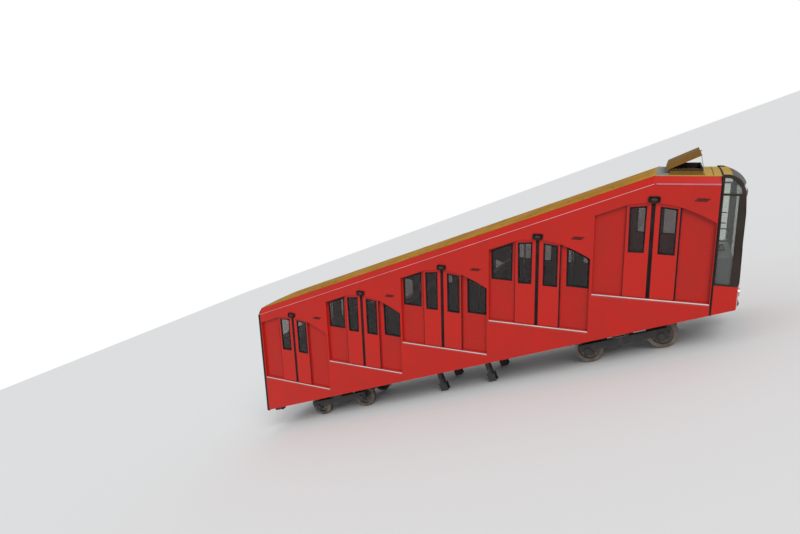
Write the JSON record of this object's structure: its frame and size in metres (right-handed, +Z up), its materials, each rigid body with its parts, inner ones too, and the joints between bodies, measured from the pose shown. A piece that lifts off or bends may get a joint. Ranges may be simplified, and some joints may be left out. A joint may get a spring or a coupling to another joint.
{
  "type": "funicular car",
  "caption": "Stepped funicular car with level floors over an inclined underframe, arched door bays with sliding leaves, a glazed nose and a roof hatch, hauled by a rope.",
  "frame": {"origin": "centre of the pin hole in the haul rope anchor, at the uphill end of the underframe", "axes": "+X level and uphill, +Y to the car's left side, +Z up; the floors are level and the wheels stand on a line that rises 20.8 degrees uphill"},
  "size_m": [12.1515, 2.48, 7.7898],
  "materials": {
    "red_paint": "gloss",
    "panel_red": "gloss",
    "door_red": "gloss",
    "sill_paint": "satin",
    "ochre_paint": "matt, dirty",
    "black_paint": "satin",
    "window_glass": "clear",
    "bright_steel": "brushed",
    "galvanised": "dull",
    "floor_rubber": "matt",
    "cream_panel": "matt",
    "seat_shell": "satin",
    "desk_grey": "satin",
    "frame_grey": "matt",
    "wheel_steel": "worn",
    "forged_steel": "greased",
    "lamp_glass": "clear"
  },
  "bodies": {
    "car": {"right_outer_skin": "red_paint", "left_outer_skin": "red_paint", "nose_apron": "red_paint", "lower_apron": "red_paint", "right_inner_wall": "panel_red", "left_inner_wall": "panel_red", "wall_posts": "panel_red", "sill_bars": "sill_paint", "roof": "ochre_paint", "lower_brow": "black_paint", "lower_end_frame": "black_paint", "nose_frame": "black_paint", "seam_boxes": "black_paint", "side_windows": "window_glass", "lower_windscreen": "window_glass", "nose_windscreen": "window_glass", "nose_side_glass": "window_glass", "hatch_stay": "bright_steel", "grab_poles": "bright_steel", "hatch_hinges": "galvanised", "stepped_floor": "floor_rubber", "compartment_screens": "cream_panel", "benches": "seat_shell", "lower_desk": "desk_grey", "upper_desk": "desk_grey", "chassis_beams": "frame_grey", "cross_members": "frame_grey", "floor_posts": "frame_grey", "rail_brakes": "frame_grey", "lower_buffers": "frame_grey", "haul_rope_anchor": "forged_steel", "lower_headlamps": "lamp_glass", "upper_headlamps": "lamp_glass"},
    "lower_bogie": {"lower_bogie_frame": "frame_grey"},
    "upper_bogie": {"upper_bogie_frame": "frame_grey"},
    "axle_1": {"wheelset_1": "wheel_steel"},
    "axle_2": {"wheelset_2": "wheel_steel"},
    "axle_3": {"wheelset_3": "wheel_steel"},
    "axle_4": {"wheelset_4": "wheel_steel"},
    "hatch": {"roof_hatch": "ochre_paint"},
    "leaf_1_right_lower": {"door_1_right_lower": "door_red"},
    "leaf_1_right_upper": {"door_1_right_upper": "door_red"},
    "leaf_2_right_lower": {"door_2_right_lower": "door_red"},
    "leaf_2_right_upper": {"door_2_right_upper": "door_red"},
    "leaf_3_right_lower": {"door_3_right_lower": "door_red"},
    "leaf_3_right_upper": {"door_3_right_upper": "door_red"},
    "leaf_4_right_lower": {"door_4_right_lower": "door_red"},
    "leaf_4_right_upper": {"door_4_right_upper": "door_red"},
    "leaf_5_right_lower": {"door_5_right_lower": "door_red"},
    "leaf_5_right_upper": {"door_5_right_upper": "door_red"},
    "leaf_1_left_lower": {"door_1_left_lower": "door_red"},
    "leaf_1_left_upper": {"door_1_left_upper": "door_red"},
    "leaf_2_left_lower": {"door_2_left_lower": "door_red"},
    "leaf_2_left_upper": {"door_2_left_upper": "door_red"},
    "leaf_3_left_lower": {"door_3_left_lower": "door_red"},
    "leaf_3_left_upper": {"door_3_left_upper": "door_red"},
    "leaf_4_left_lower": {"door_4_left_lower": "door_red"},
    "leaf_4_left_upper": {"door_4_left_upper": "door_red"},
    "leaf_5_left_lower": {"door_5_left_lower": "door_red"},
    "leaf_5_left_upper": {"door_5_left_upper": "door_red"}
  },
  "joints": [
    {"name": "lower_bogie_swivel", "type": "hinge", "parent": "car", "child": "lower_bogie", "pos_m": [-9.71771, 0, -3.70492], "axis": [-0.3544, 0, 0.9351], "range_deg": [-3, 3]},
    {"name": "axle_1_roll", "type": "hinge", "parent": "lower_bogie", "child": "axle_1", "pos_m": [-10.4197, 0, -4.11004], "axis": [0, 1, 0], "continuous": true},
    {"name": "axle_2_roll", "type": "hinge", "parent": "lower_bogie", "child": "axle_2", "pos_m": [-8.92357, 0, -3.54293], "axis": [0, 1, 0], "continuous": true},
    {"name": "upper_bogie_swivel", "type": "hinge", "parent": "car", "child": "upper_bogie", "pos_m": [-2.14359, 0, -0.83392], "axis": [-0.3544, 0, 0.9351], "range_deg": [-3, 3]},
    {"name": "axle_3_roll", "type": "hinge", "parent": "upper_bogie", "child": "axle_3", "pos_m": [-2.84557, 0, -1.23904], "axis": [0, 1, 0], "continuous": true},
    {"name": "axle_4_roll", "type": "hinge", "parent": "upper_bogie", "child": "axle_4", "pos_m": [-1.34945, 0, -0.67193], "axis": [0, 1, 0], "continuous": true},
    {"name": "hatch_lift", "type": "hinge", "parent": "car", "child": "hatch", "pos_m": [-1.47, 0, 2.87074], "axis": [0, -1, 0], "range_deg": [0, 45]},
    {"name": "leaf_1_right_lower_slide", "type": "slide", "parent": "car", "child": "leaf_1_right_lower", "axis": [1, 0, 0], "range_m": [-0.47, 0]},
    {"name": "leaf_1_right_upper_slide", "type": "slide", "parent": "car", "child": "leaf_1_right_upper", "axis": [1, 0, 0], "range_m": [0, 0.47]},
    {"name": "leaf_2_right_lower_slide", "type": "slide", "parent": "car", "child": "leaf_2_right_lower", "axis": [1, 0, 0], "range_m": [-0.47, 0]},
    {"name": "leaf_2_right_upper_slide", "type": "slide", "parent": "car", "child": "leaf_2_right_upper", "axis": [1, 0, 0], "range_m": [0, 0.47]},
    {"name": "leaf_3_right_lower_slide", "type": "slide", "parent": "car", "child": "leaf_3_right_lower", "axis": [1, 0, 0], "range_m": [-0.47, 0]},
    {"name": "leaf_3_right_upper_slide", "type": "slide", "parent": "car", "child": "leaf_3_right_upper", "axis": [1, 0, 0], "range_m": [0, 0.47]},
    {"name": "leaf_4_right_lower_slide", "type": "slide", "parent": "car", "child": "leaf_4_right_lower", "axis": [1, 0, 0], "range_m": [-0.47, 0]},
    {"name": "leaf_4_right_upper_slide", "type": "slide", "parent": "car", "child": "leaf_4_right_upper", "axis": [1, 0, 0], "range_m": [0, 0.47]},
    {"name": "leaf_5_right_lower_slide", "type": "slide", "parent": "car", "child": "leaf_5_right_lower", "axis": [1, 0, 0], "range_m": [-0.47, 0]},
    {"name": "leaf_5_right_upper_slide", "type": "slide", "parent": "car", "child": "leaf_5_right_upper", "axis": [1, 0, 0], "range_m": [0, 0.47]},
    {"name": "leaf_1_left_lower_slide", "type": "slide", "parent": "car", "child": "leaf_1_left_lower", "axis": [1, 0, 0], "range_m": [-0.47, 0]},
    {"name": "leaf_1_left_upper_slide", "type": "slide", "parent": "car", "child": "leaf_1_left_upper", "axis": [1, 0, 0], "range_m": [0, 0.47]},
    {"name": "leaf_2_left_lower_slide", "type": "slide", "parent": "car", "child": "leaf_2_left_lower", "axis": [1, 0, 0], "range_m": [-0.47, 0]},
    {"name": "leaf_2_left_upper_slide", "type": "slide", "parent": "car", "child": "leaf_2_left_upper", "axis": [1, 0, 0], "range_m": [0, 0.47]},
    {"name": "leaf_3_left_lower_slide", "type": "slide", "parent": "car", "child": "leaf_3_left_lower", "axis": [1, 0, 0], "range_m": [-0.47, 0]},
    {"name": "leaf_3_left_upper_slide", "type": "slide", "parent": "car", "child": "leaf_3_left_upper", "axis": [1, 0, 0], "range_m": [0, 0.47]},
    {"name": "leaf_4_left_lower_slide", "type": "slide", "parent": "car", "child": "leaf_4_left_lower", "axis": [1, 0, 0], "range_m": [-0.47, 0]},
    {"name": "leaf_4_left_upper_slide", "type": "slide", "parent": "car", "child": "leaf_4_left_upper", "axis": [1, 0, 0], "range_m": [0, 0.47]},
    {"name": "leaf_5_left_lower_slide", "type": "slide", "parent": "car", "child": "leaf_5_left_lower", "axis": [1, 0, 0], "range_m": [-0.47, 0]},
    {"name": "leaf_5_left_upper_slide", "type": "slide", "parent": "car", "child": "leaf_5_left_upper", "axis": [1, 0, 0], "range_m": [0, 0.47]}
  ],
  "couplings": [
    {"joint": "leaf_1_right_upper_slide", "follows": "leaf_1_right_lower_slide", "ratio": -1},
    {"joint": "leaf_2_right_upper_slide", "follows": "leaf_2_right_lower_slide", "ratio": -1},
    {"joint": "leaf_3_right_upper_slide", "follows": "leaf_3_right_lower_slide", "ratio": -1},
    {"joint": "leaf_4_right_upper_slide", "follows": "leaf_4_right_lower_slide", "ratio": -1},
    {"joint": "leaf_5_right_upper_slide", "follows": "leaf_5_right_lower_slide", "ratio": -1},
    {"joint": "leaf_1_left_upper_slide", "follows": "leaf_1_left_lower_slide", "ratio": -1},
    {"joint": "leaf_2_left_upper_slide", "follows": "leaf_2_left_lower_slide", "ratio": -1},
    {"joint": "leaf_3_left_upper_slide", "follows": "leaf_3_left_lower_slide", "ratio": -1},
    {"joint": "leaf_4_left_upper_slide", "follows": "leaf_4_left_lower_slide", "ratio": -1},
    {"joint": "leaf_5_left_upper_slide", "follows": "leaf_5_left_lower_slide", "ratio": -1}
  ]
}
